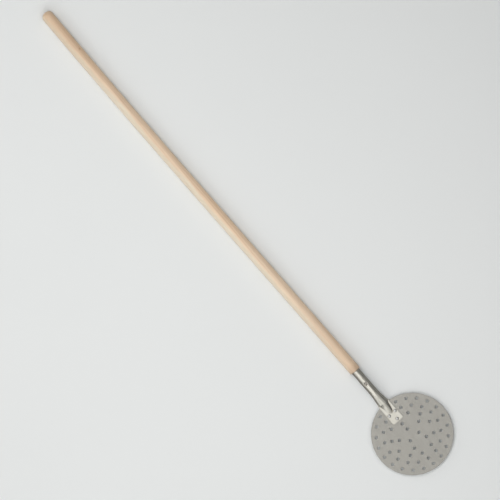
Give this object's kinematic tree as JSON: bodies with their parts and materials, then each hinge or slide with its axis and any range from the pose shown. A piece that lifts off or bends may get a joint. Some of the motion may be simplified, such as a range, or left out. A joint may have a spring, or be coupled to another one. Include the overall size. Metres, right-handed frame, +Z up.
{
  "type": "pizza peel",
  "caption": "Small round perforated metal turning peel riveted to a flattened tube socket that holds a long round wooden pole.",
  "frame": {"origin": "centre of the round blade, on its underside", "axes": "+X from the pole along the peel to the blade's leading edge, +Z up out of the blade's top face, +Y to the left seen from the pole's end"},
  "size_m": [1.4999, 0.206, 0.0296],
  "materials": {
    "pole_wood": "fine sanded, unvarnished",
    "socket_metal": "polished, slightly warm",
    "blade_steel": "satin",
    "rivet_metal": "bright",
    "nail_steel": "dull, a little tarnished"
  },
  "bodies": {
    "root": {"handle": "pole_wood", "socket": "socket_metal", "blade": "blade_steel", "rivet_left": "rivet_metal", "rivet_right": "rivet_metal", "rivet_front": "rivet_metal", "handle_nail": "nail_steel"}
  },
  "joints": []
}
